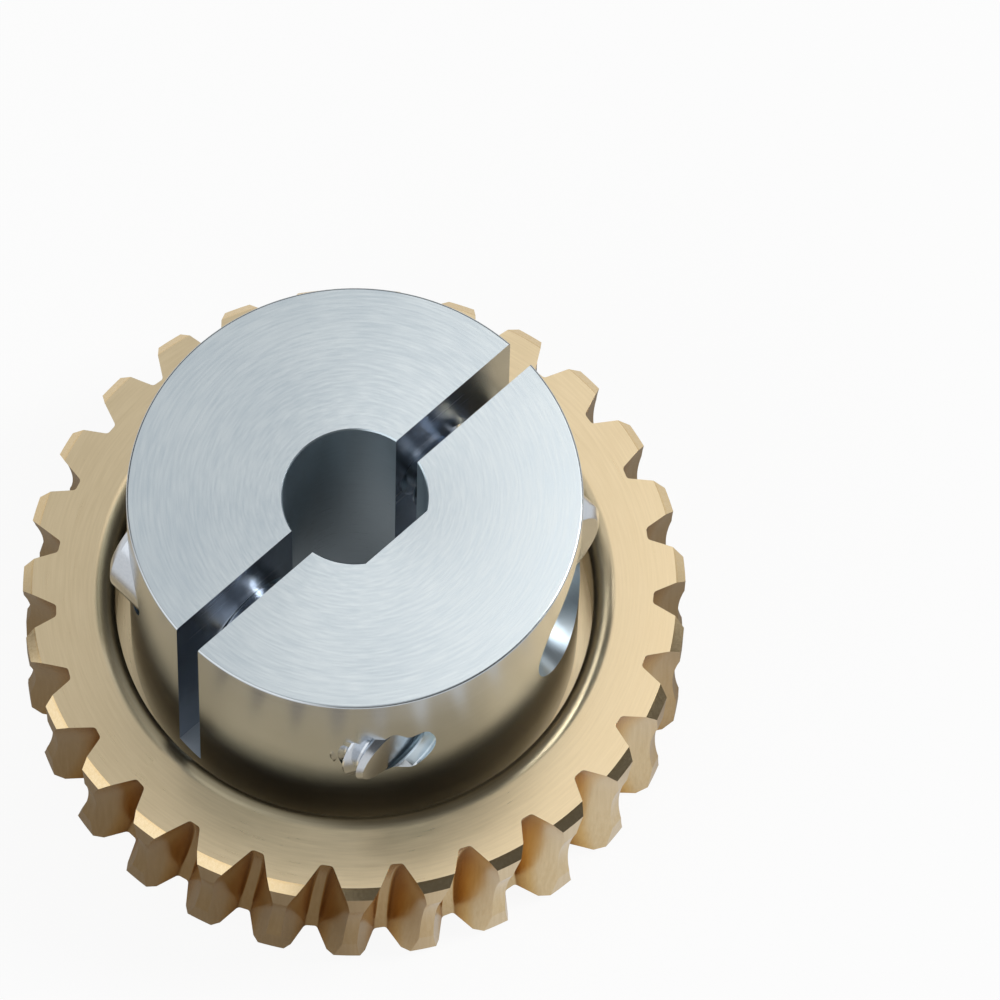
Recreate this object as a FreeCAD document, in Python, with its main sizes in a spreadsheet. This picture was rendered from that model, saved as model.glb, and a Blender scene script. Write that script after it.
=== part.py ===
import FreeCAD, Part
import math
import os

import Sketcher

# Bronze worm wheel rim pressed on a steel clamp hub with two opposed clamp screws.
# Frame: origin on the bore axis at the flat back face, +Z out of the hub's split face,
# +X along the split, millimetres throughout.

Vector = FreeCAD.Vector
Rotation = FreeCAD.Rotation
Placement = FreeCAD.Placement

# Driving dimensions, in millimetres and degrees
SIZES = {
    # hub
    "hub_diameter": 20.0,
    "hub_height": 18.0,
    "hub_edge_break": 0.12,
    "bore_diameter": 6.35,
    "bore_edge_break": 0.12,
    "flat_offset": 2.66,
    "split_width": 1.36,
    "split_depth": 12.6,
    # clamp screws, one each side of the bore, opposed
    "screw_offset": 5.5,
    "screw_drop": 5.6,
    "screw_diameter": 4.17,
    "screw_length": 10.9,
    "screw_end_bevel": 0.4,
    "head_diameter": 6.86,
    "head_height": 3.94,
    "head_bevel": 0.4,
    "head_seat": 2.7,
    "key_width": 3.57,
    "key_depth": 2.0,
    "head_clearance": 0.17,
    "shank_clearance": 0.15,
    "thread_clearance": 0.02,
    # rim
    "rim_wall": 4.76,
    "rim_width": 7.6,
    "rim_chamfer": 0.43,
    "recess_gap": 0.65,
    "recess_depth": 4.0,
    "lip_radius": 1.0,
    "throat_width": 3.92,
    # teeth, cut by a hob whose axis crosses the wheel's outside the rim
    "tooth_count": 27,
    "first_gap_angle": 6.78,
    "lead_angle": 5.5,
    "gap_depth": 2.25,
    "hob_radius": 9.69,
    "flank_angle": 30.0,
    "gap_flat": 0.3,
    "root_fillet": 0.2,
}

# Room left past a surface so that a cut runs out of the solid
RUN_OUT = 1.0
# Least volume that a real cut takes away
LEAST_CUT = 0.01
# One screw each side of the bore
SCREW_COUNT = "2"


def make_sheet(doc):
    """Spreadsheet of the driving dimensions, one alias a row."""
    sheet = doc.addObject("Spreadsheet::Sheet", "Sizes")
    for row, (name, value) in enumerate(SIZES.items(), start=1):
        sheet.set(f"A{row}", name)
        sheet.set(f"B{row}", str(value))
        sheet.setAlias(f"B{row}", name)
    doc.recompute()
    return sheet


def value_of(sheet, text):
    """Number that an expression on the sheet gives now."""
    result = sheet.evalExpression(text)
    return float(getattr(result, "Value", result))


def origin_plane(body, role):
    """One of a body's own origin planes or axes, by its role."""
    return next(item for item in body.Origin.OriginFeatures if item.Role == role)


def make_sketch(body, name, role):
    """Empty sketch on one of the body's origin planes."""
    sketch = body.newObject("Sketcher::SketchObject", name)
    sketch.AttachmentSupport = [(origin_plane(body, role), "")]
    sketch.MapMode = "FlatFace"
    return sketch


def pin_point(sheet, sketch, geometry, end, place):
    """Tie one end of a sketch edge to expressions for its two coordinates."""
    for kind, axis, text in (("DistanceX", -2, place[0]), ("DistanceY", -1, place[1])):
        if text == "0":
            sketch.addConstraint(Sketcher.Constraint("PointOnObject", geometry, end, axis))
            continue
        number = sketch.addConstraint(
            Sketcher.Constraint(kind, -1, 1, geometry, end, value_of(sheet, text))
        )
        sketch.setExpression(f"Constraints[{number}]", text)


def draw_outline(sheet, sketch, points, bends=None):
    """Closed outline through points given as pairs of expressions.

    bends maps the number of a stretch to the radius or centre that makes it an arc:
    ("radius", text, side) or ("centre_x", text, side), with side 1 where the arc turns
    left of its chord and -1 where it turns right.
    """
    bends = bends or {}
    spots = [
        Vector(value_of(sheet, x) if x != "0" else 0.0, value_of(sheet, y) if y != "0" else 0.0, 0)
        for x, y in points
    ]
    starts = []
    for number, spot in enumerate(spots):
        following = spots[(number + 1) % len(spots)]
        if number in bends:
            middle = arc_middle(sheet, spot, following, bends[number])
            edge = Part.Arc(spot, middle, following)
        else:
            edge = Part.LineSegment(spot, following)
        geometry = sketch.addGeometry(edge, False)
        starts.append((geometry, nearest_end(sketch, geometry, spot)))
    for number, (geometry, end) in enumerate(starts):
        other_end = 2 if end == 1 else 1
        following, start = starts[(number + 1) % len(starts)]
        sketch.addConstraint(
            Sketcher.Constraint("Coincident", geometry, other_end, following, start)
        )
        pin_point(sheet, sketch, geometry, end, points[number])
    for number, (kind, text, _side) in bends.items():
        geometry = starts[number][0]
        size = value_of(sheet, text)
        if kind == "radius":
            made = sketch.addConstraint(Sketcher.Constraint("Radius", geometry, size))
        else:
            made = sketch.addConstraint(
                Sketcher.Constraint("DistanceX", -1, 1, geometry, 3, size)
            )
        sketch.setExpression(f"Constraints[{made}]", text)


def arc_middle(sheet, start, stop, bend):
    """Middle point of the shorter arc between two points."""
    kind, text, side = bend
    size = value_of(sheet, text)
    chord = stop - start
    half = chord.Length / 2
    normal = Vector(-chord.y, chord.x, 0).normalize() * side
    foot = (start + stop) / 2
    if kind == "radius":
        radius = size
    else:
        radius = math.hypot(half, (size - foot.x) / normal.x)
    rise = radius - math.sqrt(radius**2 - half**2)
    return foot - normal * rise


def nearest_end(sketch, geometry, spot):
    """Which end of a sketch edge lies at a point: arcs may be stored turned round."""
    start = sketch.getPoint(geometry, 1)
    return 1 if (start - spot).Length < 1e-6 else 2


def revolve(body, name, kind, sketch, axis):
    """Full turn of a sketch about an axis, added or cut."""
    feature = body.newObject(kind, name)
    feature.Profile = sketch
    feature.ReferenceAxis = axis
    feature.Angle = 360
    return feature


def turn_pattern(body, name, originals, count_text):
    """Features repeated evenly round the Z axis."""
    pattern = body.newObject("PartDesign::PolarPattern", name)
    pattern.Originals = originals
    pattern.Axis = (origin_plane(body, "Z_Axis"), [""])
    pattern.Angle = 360
    pattern.setExpression("Occurrences", count_text)
    body.Tip = pattern
    return pattern


def add_axis(sheet, sketch, x_text, y_low, y_high):
    """Construction line parallel to the sketch's upright axis, for a turned feature."""
    x_now = value_of(sheet, x_text)
    line = sketch.addGeometry(
        Part.LineSegment(Vector(x_now, y_low, 0), Vector(x_now, y_high, 0)), True
    )
    sketch.addConstraint(Sketcher.Constraint("Vertical", line))
    pin_point(sheet, sketch, line, 1, (x_text, str(y_low)))
    length = sketch.addConstraint(
        Sketcher.Constraint("DistanceY", line, 1, line, 2, y_high - y_low)
    )
    sketch.renameConstraint(length, "axis_length")
    return (sketch, ["Axis0"])


def build_rim(doc, sheet):
    """Bronze rim: turned section with a throat, then the tooth gaps."""
    body = doc.addObject("PartDesign::Body", "Rim")
    body.Label = "worm_wheel_rim"

    section = make_sketch(body, "RimSection", "XZ_Plane")
    bore = "Sizes.hub_diameter / 2"
    recess = "Sizes.hub_diameter / 2 + Sizes.recess_gap"
    lip = "Sizes.hub_diameter / 2 + Sizes.recess_gap + Sizes.lip_radius"
    outside = "Sizes.hub_diameter / 2 + Sizes.rim_wall"
    shoulder = f"{outside} - Sizes.rim_chamfer"
    root = f"{outside} - Sizes.gap_depth"
    hob_axis = f"{root} + Sizes.hob_radius"
    width = "Sizes.rim_width"
    floor = "Sizes.rim_width - Sizes.recess_depth"
    points = [
        (bore, "0"),
        (shoulder, "0"),
        (outside, "Sizes.rim_chamfer"),
        (outside, "(Sizes.rim_width - Sizes.throat_width) / 2"),
        (outside, "(Sizes.rim_width + Sizes.throat_width) / 2"),
        (outside, "Sizes.rim_width - Sizes.rim_chamfer"),
        (shoulder, width),
        (lip, width),
        (recess, "Sizes.rim_width - Sizes.lip_radius"),
        (recess, floor),
        (bore, floor),
    ]
    bends = {
        3: ("centre_x", hob_axis, -1),
        7: ("radius", "Sizes.lip_radius", 1),
    }
    draw_outline(sheet, section, points, bends)
    doc.recompute()
    revolve(body, "RimTurned", "PartDesign::Revolution", section, (section, ["V_Axis"]))
    doc.recompute()

    # The hob's tooth, drawn in the plane of the hob's axis: that plane is tilted by the
    # lead angle about the radial line, so the gap runs across the rim at that slant.
    gap = make_sketch(body, "GapSection", "XY_Plane")
    gap.AttachmentOffset = Placement(
        Vector(0, 0, SIZES["rim_width"] / 2), Rotation(Vector(-1, 0, 0), SIZES["lead_angle"])
    )
    gap.setExpression("AttachmentOffset.Base.z", "Sizes.rim_width / 2")
    gap.setExpression("AttachmentOffset.Rotation.Angle", "Sizes.lead_angle")
    bend_x = f"{root} + Sizes.root_fillet * (1 - sin(Sizes.flank_angle * 1 deg))"
    bend_y = "Sizes.gap_flat / 2 + Sizes.root_fillet * cos(Sizes.flank_angle * 1 deg)"
    clear_x = f"{outside} + Sizes.rim_chamfer + {RUN_OUT}"
    clear_y = f"{bend_y} + (({clear_x}) - ({bend_x})) * tan(Sizes.flank_angle * 1 deg)"
    points = [
        (root, "-Sizes.gap_flat / 2"),
        (bend_x, f"-({bend_y})"),
        (clear_x, f"-({clear_y})"),
        (clear_x, clear_y),
        (bend_x, bend_y),
        (root, "Sizes.gap_flat / 2"),
    ]
    bends = {
        0: ("radius", "Sizes.root_fillet", 1),
        4: ("radius", "Sizes.root_fillet", 1),
    }
    draw_outline(sheet, gap, points, bends)
    axis = add_axis(sheet, gap, hob_axis, -RUN_OUT, RUN_OUT)
    doc.recompute()
    groove = revolve(body, "ToothGap", "PartDesign::Groove", gap, axis)
    doc.recompute()
    turn_pattern(body, "ToothGaps", [groove], "Sizes.tooth_count")

    body.Placement = Placement(Vector(0, 0, 0), Rotation(Vector(0, 0, 1), 1))
    body.setExpression("Placement.Rotation.Angle", "Sizes.first_gap_angle")
    doc.recompute()
    return body


def build_hub(doc, sheet):
    """Steel clamp hub: split across the bore, with a flat in the bore and two screw holes."""
    body = doc.addObject("PartDesign::Body", "Hub")
    body.Label = "clamp_hub"
    radius = "Sizes.hub_diameter / 2"

    section = make_sketch(body, "HubSection", "XZ_Plane")
    bore = "Sizes.bore_diameter / 2"
    points = [
        (f"{bore} + Sizes.bore_edge_break", "0"),
        (f"{radius} - Sizes.hub_edge_break", "0"),
        (radius, "Sizes.hub_edge_break"),
        (radius, "Sizes.hub_height - Sizes.hub_edge_break"),
        (f"{radius} - Sizes.hub_edge_break", "Sizes.hub_height"),
        (f"{bore} + Sizes.bore_edge_break", "Sizes.hub_height"),
        (bore, "Sizes.hub_height - Sizes.bore_edge_break"),
        (bore, "Sizes.bore_edge_break"),
    ]
    draw_outline(sheet, section, points)
    doc.recompute()
    revolve(body, "HubTurned", "PartDesign::Revolution", section, (section, ["V_Axis"]))
    doc.recompute()

    # The flat of the bore: the segment between the flat and the bore's wall is solid.
    flat = make_sketch(body, "FlatSection", "XY_Plane")
    half_chord = (
        "sqrt((Sizes.bore_diameter / 2 + Sizes.bore_edge_break) ^ 2 - Sizes.flat_offset ^ 2)"
    )
    points = [
        (f"-({half_chord})", "-Sizes.flat_offset"),
        (half_chord, "-Sizes.flat_offset"),
    ]
    bends = {1: ("radius", "Sizes.bore_diameter / 2 + Sizes.bore_edge_break", -1)}
    draw_outline(sheet, flat, points, bends)
    doc.recompute()
    land = body.newObject("PartDesign::Pad", "BoreFlat")
    land.Profile = flat
    land.setExpression("Length", "Sizes.hub_height")
    doc.recompute()

    # The split, from the hub's face down, right across the hub.
    split = make_sketch(body, "SplitSection", "XY_Plane")
    split.setExpression("AttachmentOffset.Base.z", "Sizes.hub_height")
    reach = f"{radius} + {RUN_OUT}"
    side = "Sizes.split_width / 2"
    points = [
        (f"-({reach})", f"-({side})"),
        (reach, f"-({side})"),
        (reach, side),
        (f"-({reach})", side),
    ]
    draw_outline(sheet, split, points)
    doc.recompute()
    cut = body.newObject("PartDesign::Pocket", "Split")
    cut.Profile = split
    cut.setExpression("Length", "Sizes.split_depth")
    doc.recompute()

    # One stepped hole: tapped in the far half, clear in the near half, then the
    # counterbore for the head. Its twin is the same hole turned half round.
    hole = make_sketch(body, "ScrewHoleSection", "XY_Plane")
    hole.setExpression("AttachmentOffset.Base.z", "Sizes.hub_height - Sizes.screw_drop")
    centre = "-Sizes.screw_offset"
    tapped = f"{centre} + Sizes.screw_diameter / 2 + Sizes.thread_clearance"
    clear = f"{centre} + Sizes.screw_diameter / 2 + Sizes.shank_clearance"
    counterbore = f"{centre} + Sizes.head_diameter / 2 + Sizes.head_clearance"
    points = [
        (centre, f"-({reach})"),
        (tapped, f"-({reach})"),
        (tapped, "0"),
        (clear, "0"),
        (clear, "Sizes.head_seat"),
        (counterbore, "Sizes.head_seat"),
        (counterbore, reach),
        (centre, reach),
    ]
    draw_outline(sheet, hole, points)
    axis = add_axis(sheet, hole, centre, -RUN_OUT, RUN_OUT)
    doc.recompute()
    groove = revolve(body, "ScrewHole", "PartDesign::Groove", hole, axis)
    doc.recompute()
    turn_pattern(body, "ScrewHoles", [groove], SCREW_COUNT)
    doc.recompute()
    return body


def build_screws(doc, sheet):
    """Two socket head clamp screws, one the other turned half round the bore."""
    body = doc.addObject("PartDesign::Body", "Screws")
    body.Label = "clamp_screws"
    body.AllowCompound = True

    section = make_sketch(body, "ScrewSection", "XY_Plane")
    section.setExpression("AttachmentOffset.Base.z", "Sizes.hub_height - Sizes.screw_drop")
    centre = "-Sizes.screw_offset"
    head = f"{centre} + Sizes.head_diameter / 2"
    shank = f"{centre} + Sizes.screw_diameter / 2"
    top = "Sizes.head_seat + Sizes.head_height"
    end = "Sizes.head_seat - Sizes.screw_length"
    points = [
        (centre, end),
        (f"{shank} - Sizes.screw_end_bevel", end),
        (shank, f"{end} + Sizes.screw_end_bevel"),
        (shank, "Sizes.head_seat"),
        (head, "Sizes.head_seat"),
        (head, f"{top} - Sizes.head_bevel"),
        (f"{head} - Sizes.head_bevel", top),
        (centre, top),
    ]
    draw_outline(sheet, section, points)
    axis = add_axis(sheet, section, centre, -RUN_OUT, RUN_OUT)
    doc.recompute()
    turned = revolve(body, "ScrewTurned", "PartDesign::Revolution", section, axis)
    doc.recompute()

    # Hexagon socket, drawn on the head's end face and cut towards the shank.
    socket = make_sketch(body, "SocketSection", "XZ_Plane")
    socket.setExpression("AttachmentOffset.Base.z", f"-({top})")
    middle = "Sizes.hub_height - Sizes.screw_drop"
    corner = "Sizes.key_width / sqrt(3)"
    points = [
        (f"{centre} + {corner} * cos({60 * turn} deg)", f"{middle} + {corner} * sin({60 * turn} deg)")
        for turn in range(6)
    ]
    draw_outline(sheet, socket, points)
    doc.recompute()
    key = body.newObject("PartDesign::Pocket", "KeySocket")
    key.Profile = socket
    key.Reversed = True
    key.setExpression("Length", "Sizes.key_depth")
    doc.recompute()
    turn_pattern(body, "ScrewPair", [turned, key], SCREW_COUNT)
    doc.recompute()
    return body


def check_document(doc, bodies):
    """Stop at the first feature that failed, or a cut that took nothing away."""
    for item in doc.Objects:
        if "Invalid" in item.State or "Error" in item.State:
            raise RuntimeError(f"{item.Name} failed: {item.State}")
    for body in bodies:
        if body.Shape.isNull() or not body.Shape.isValid():
            raise RuntimeError(f"{body.Label} has no valid shape")
        for feature in body.Group:
            if feature.TypeId in ("PartDesign::Pocket", "PartDesign::Groove"):
                before = feature.BaseFeature.Shape.Volume
                if feature.Shape.Volume > before - LEAST_CUT:
                    raise RuntimeError(f"{feature.Name} cuts nothing")


def main():
    """Build the three sub-parts, check them and write one file for each."""
    doc = FreeCAD.newDocument("worm_wheel")
    sheet = make_sheet(doc)
    bodies = [build_rim(doc, sheet), build_hub(doc, sheet), build_screws(doc, sheet)]
    doc.recompute()
    check_document(doc, bodies)
    os.makedirs("parts", exist_ok=True)
    for body in bodies:
        body.Shape.exportStep(f"parts/{body.Label}.step")
        print(body.Label, len(body.Shape.Solids), "solids", round(body.Shape.Volume, 2), "mm3")


main()
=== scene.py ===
"""Looks of a bronze worm wheel on a split steel clamp hub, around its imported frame."""

import logging
import math
from dataclasses import dataclass, field, replace
from enum import Enum
from typing import Any, Callable

import bpy
from mathutils import Matrix, Vector


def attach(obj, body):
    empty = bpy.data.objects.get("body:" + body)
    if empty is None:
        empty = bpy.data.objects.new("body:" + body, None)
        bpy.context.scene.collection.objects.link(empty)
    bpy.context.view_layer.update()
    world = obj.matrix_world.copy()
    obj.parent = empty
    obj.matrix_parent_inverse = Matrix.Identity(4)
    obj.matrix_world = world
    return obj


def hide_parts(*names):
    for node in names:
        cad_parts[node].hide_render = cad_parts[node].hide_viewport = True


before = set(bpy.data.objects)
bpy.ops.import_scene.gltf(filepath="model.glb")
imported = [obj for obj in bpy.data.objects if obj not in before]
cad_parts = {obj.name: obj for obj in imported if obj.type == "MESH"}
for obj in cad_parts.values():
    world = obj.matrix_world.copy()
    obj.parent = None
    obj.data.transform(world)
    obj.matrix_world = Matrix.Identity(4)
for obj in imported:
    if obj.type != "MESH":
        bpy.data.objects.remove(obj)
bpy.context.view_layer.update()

LOG = logging.getLogger("worm_wheel")

BODY = "root"
MM = 0.001

# Modelling limits: lengths in millimetres, angles in degrees

MERGE = 1e-4
FINE_MERGE = 1e-5
WALL_PLAY = 0.004
FLOOR_PLAY = 0.02
PLANE_ANGLE = 0.05
EDGE_FACETS = 2
THREAD_STEPS = 64
FLAT_WEIGHT = 80
FACING = 0.9

Colour = tuple[float, float, float]
Outline = list[tuple[float, float]]

WHITE: Colour = (1.0, 1.0, 1.0)


# Modelling helpers: pieces are shaped in millimetres and brought to metres at the end


def clear_selection() -> None:
    """Leave edit mode and deselect every object."""
    if bpy.context.object and bpy.context.object.mode != "OBJECT":
        bpy.ops.object.mode_set(mode="OBJECT")
    bpy.ops.object.select_all(action="DESELECT")


def choose(piece: bpy.types.Object) -> None:
    """Make one object the only selected and active one.

    Args:
        piece: The object.
    """
    clear_selection()
    piece.select_set(True)
    bpy.context.view_layer.objects.active = piece


def edit_all(piece: bpy.types.Object) -> None:
    """Enter edit mode on a piece with all of it selected.

    Args:
        piece: The object.
    """
    choose(piece)
    bpy.ops.object.mode_set(mode="EDIT")
    bpy.ops.mesh.select_all(action="SELECT")


def leave_edit() -> None:
    """Go back to object mode."""
    bpy.ops.object.mode_set(mode="OBJECT")


def settle(piece: bpy.types.Object) -> None:
    """Move the object's place, turn and scale into its mesh."""
    choose(piece)
    bpy.ops.object.transform_apply(location=True, rotation=True, scale=True)


def new_outline(name: str, points: Outline, closed: bool) -> bpy.types.Object:
    """Object holding one outline in its XZ plane.

    Args:
        name: The object's name.
        points: Pairs of distance from the Z axis and height.
        closed: Whether the last point joins the first.

    Returns:
        The new object.
    """
    mesh = bpy.data.meshes.new(name)
    edges = [(number, number + 1) for number in range(len(points) - 1)]
    if closed:
        edges.append((len(points) - 1, 0))
    mesh.from_pydata([(across, 0.0, up) for across, up in points], edges, [])
    piece = bpy.data.objects.new(name, mesh)
    bpy.context.scene.collection.objects.link(piece)
    return piece


def lathe(name: str, points: Outline, steps: int, closed: bool = True) -> bpy.types.Object:
    """Turned solid: an outline spun once round the Z axis.

    Args:
        name: The object's name.
        points: Pairs of distance from the axis and height.
        steps: Number of facets round the turn.
        closed: False for an outline that starts and ends on the axis.

    Returns:
        The turned object.
    """
    piece = new_outline(name, points, closed)
    edit_all(piece)
    bpy.ops.mesh.spin(steps=steps, angle=math.tau, center=(0, 0, 0), axis=(0, 0, 1))
    bpy.ops.mesh.select_all(action="SELECT")
    bpy.ops.mesh.remove_doubles(threshold=MERGE)
    bpy.ops.mesh.normals_make_consistent(inside=False)
    leave_edit()
    return piece


def add_block(
    name: str, low: tuple[float, float, float], high: tuple[float, float, float]
) -> bpy.types.Object:
    """Rectangular block between two corners.

    Args:
        name: The object's name.
        low: Its lowest corner.
        high: Its highest corner.

    Returns:
        The block.
    """
    clear_selection()
    centre = [(a + b) / 2 for a, b in zip(low, high)]
    bpy.ops.mesh.primitive_cube_add(size=1, location=centre)
    block = bpy.context.object
    block.name = name
    block.scale = [b - a for a, b in zip(low, high)]
    settle(block)
    return block


def apply_modifier(piece: bpy.types.Object, kind: str, settings: dict[str, Any]) -> None:
    """Add a modifier, set it up and apply it.

    Args:
        piece: The object that it works on.
        kind: The modifier's type.
        settings: Its settings by name.
    """
    choose(piece)
    modifier = piece.modifiers.new(kind.lower(), kind)
    for name, value in settings.items():
        setattr(modifier, name, value)
    bpy.ops.object.modifier_apply(modifier=modifier.name)


def combine(piece: bpy.types.Object, tool: bpy.types.Object, operation: str) -> None:
    """Change a piece by a tool's volume, and delete the tool.

    Args:
        piece: The object that is kept.
        tool: The object that shapes it.
        operation: DIFFERENCE, UNION or INTERSECT.
    """
    apply_modifier(piece, "BOOLEAN", {"operation": operation, "solver": "EXACT", "object": tool})
    bpy.data.objects.remove(tool)


def cut(piece: bpy.types.Object, tool: bpy.types.Object) -> None:
    """Take a tool's volume out of a piece, and delete the tool."""
    combine(piece, tool, "DIFFERENCE")


def trim(piece: bpy.types.Object, point: Vector, normal: Vector) -> None:
    """Cut a piece off flat and close it.

    Args:
        piece: The object.
        point: A place on the cutting plane.
        normal: The plane's normal, towards the side that goes.
    """
    edit_all(piece)
    bpy.ops.mesh.bisect(
        plane_co=point, plane_no=normal, clear_outer=True, clear_inner=False, use_fill=True,
        threshold=FINE_MERGE,
    )
    leave_edit()


def join(pieces: list[bpy.types.Object], name: str) -> bpy.types.Object:
    """Join several objects into one.

    Args:
        pieces: The objects; the first one is kept.
        name: The name that it gets.

    Returns:
        The joined object.
    """
    clear_selection()
    for piece in pieces:
        piece.select_set(True)
    bpy.context.view_layer.objects.active = pieces[0]
    bpy.ops.object.join()
    pieces[0].name = name
    return pieces[0]


def twin(piece: bpy.types.Object, turn: Matrix) -> bpy.types.Object:
    """Copy of a piece with a mesh of its own.

    Args:
        piece: The object to copy.
        turn: Matrix that moves the copy's mesh.

    Returns:
        The copy.
    """
    copy = piece.copy()
    copy.data = piece.data.copy()
    bpy.context.scene.collection.objects.link(copy)
    copy.data.transform(turn)
    return copy


def turned_by(degrees: float) -> Matrix:
    """Turn round the Z axis."""
    return Matrix.Rotation(math.radians(degrees), 4, "Z")


def break_edges(piece: bpy.types.Object, width: float, angle: float) -> None:
    """Round the sharp edges by a hair.

    Args:
        piece: The object.
        width: Width of the broken edge, in millimetres.
        angle: Smallest angle between two faces that counts as an edge, in degrees.
    """
    edit_all(piece)
    bpy.ops.mesh.remove_doubles(threshold=MERGE)
    bpy.ops.mesh.dissolve_limited(angle_limit=math.radians(PLANE_ANGLE), delimit={"NORMAL"})
    leave_edit()
    apply_modifier(
        piece,
        "BEVEL",
        {
            "width": width,
            "segments": EDGE_FACETS,
            "limit_method": "ANGLE",
            "angle_limit": math.radians(angle),
            "use_clamp_overlap": True,
            "harden_normals": False,
        },
    )


def shade(piece: bpy.types.Object, angle: float) -> None:
    """Shade a piece smooth, with its large faces kept flat.

    Args:
        piece: The object.
        angle: Angle between two faces above which their edge stays sharp, in degrees.
    """
    choose(piece)
    bpy.ops.object.shade_smooth_by_angle(angle=math.radians(angle))
    apply_modifier(piece, "WEIGHTED_NORMAL", {"keep_sharp": True, "weight": FLAT_WEIGHT})


def turn_normals(piece: bpy.types.Object, radius: float, facing: float) -> None:
    """Give the wall of a turned surface the exact normals of its cylinder about the Z axis.

    Args:
        piece: The piece, in metres.
        radius: The wall's radius, in metres.
        facing: 1 for an outer wall and -1 for a bore.
    """
    mesh = piece.data
    normals = [tuple(corner.vector) for corner in mesh.corner_normals]
    for polygon in mesh.polygons:
        places = [mesh.vertices[number].co for number in polygon.vertices]
        if max(abs(reach(place) - radius) for place in places) > WALL_PLAY * MM:
            continue
        for loop in polygon.loop_indices:
            place = mesh.vertices[mesh.loops[loop].vertex_index].co
            away = reach(place) * facing
            normals[loop] = (place.x / away, place.y / away, 0.0)
    mesh.normals_split_custom_set(normals)


def to_metres(piece: bpy.types.Object) -> None:
    """Scale a piece from millimetres to metres about the frame's origin."""
    piece.scale = (MM, MM, MM)
    settle(piece)


def thread_rod(
    name: str, major: float, minor: float, pitch: float, low: float, high: float, flat: float
) -> bpy.types.Object:
    """Closed rod with a helical vee thread along Z.

    Args:
        name: The object's name.
        major: Radius over the crests.
        minor: Radius at the roots.
        pitch: Rise of one turn.
        low: Height where it starts.
        high: Height where it ends.
        flat: Share of the pitch that the crest and the root are flat for.

    Returns:
        The rod.
    """
    slope = (1 - 2 * flat) / 2
    points = [
        (minor, 0.0),
        (minor, pitch * flat),
        (major, pitch * (flat + slope)),
        (major, pitch * (2 * flat + slope)),
        (minor, pitch),
    ]
    rod = new_outline(name, points, False)
    turns_below = 2
    turns = math.ceil((high - low) / pitch) + turns_below + 1
    apply_modifier(
        rod,
        "SCREW",
        {
            "screw_offset": pitch,
            "iterations": turns,
            "angle": math.tau,
            "steps": THREAD_STEPS,
            "render_steps": THREAD_STEPS,
            "use_merge_vertices": True,
            "merge_threshold": MERGE,
            "use_normal_calculate": True,
        },
    )
    rod.location = (0, 0, low - turns_below * pitch)
    settle(rod)
    trim(rod, Vector((0, 0, low)), Vector((0, 0, -1)))
    trim(rod, Vector((0, 0, high)), Vector((0, 0, 1)))
    edit_all(rod)
    bpy.ops.mesh.remove_doubles(threshold=MERGE)
    bpy.ops.mesh.normals_make_consistent(inside=False)
    leave_edit()
    return rod


# Shader maths


class Signal:
    """A node's output that takes part in Python expressions."""

    def __init__(self, sheet: "NodeSheet", socket: bpy.types.NodeSocket) -> None:
        """Hold a socket and the sheet that its node is on."""
        self.sheet = sheet
        self.socket = socket

    def maths(self, operation: str, *others: Any) -> "Signal":
        """Math node of this signal and others.

        Args:
            operation: The node's operation.
            others: Signals or numbers for its further inputs.

        Returns:
            The result.
        """
        inputs = {0: self}
        inputs.update({number: other for number, other in enumerate(others, start=1)})
        return self.sheet.node("ShaderNodeMath", {"operation": operation}, inputs)

    def reversed_maths(self, operation: str, other: float) -> "Signal":
        """Math node with a number first and this signal second."""
        return self.sheet.node("ShaderNodeMath", {"operation": operation}, {0: other, 1: self})

    def __add__(self, other: Any) -> "Signal":
        """Sum."""
        return self.maths("ADD", other)

    def __radd__(self, other: float) -> "Signal":
        """Sum with a number first."""
        return self.maths("ADD", other)

    def __sub__(self, other: Any) -> "Signal":
        """Difference."""
        return self.maths("SUBTRACT", other)

    def __rsub__(self, other: float) -> "Signal":
        """Difference with a number first."""
        return self.reversed_maths("SUBTRACT", other)

    def __mul__(self, other: Any) -> "Signal":
        """Product."""
        return self.maths("MULTIPLY", other)

    def __rmul__(self, other: float) -> "Signal":
        """Product with a number first."""
        return self.maths("MULTIPLY", other)

    def band(self, low: float, high: float) -> "Signal":
        """Smooth step.

        Args:
            low: Value that gives 0.
            high: Value that gives 1; it may be below the other.

        Returns:
            The step.
        """
        return self.sheet.node(
            "ShaderNodeMapRange",
            {"interpolation_type": "SMOOTHSTEP"},
            {"Value": self, "From Min": low, "From Max": high, "To Min": 0.0, "To Max": 1.0},
        )


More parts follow.
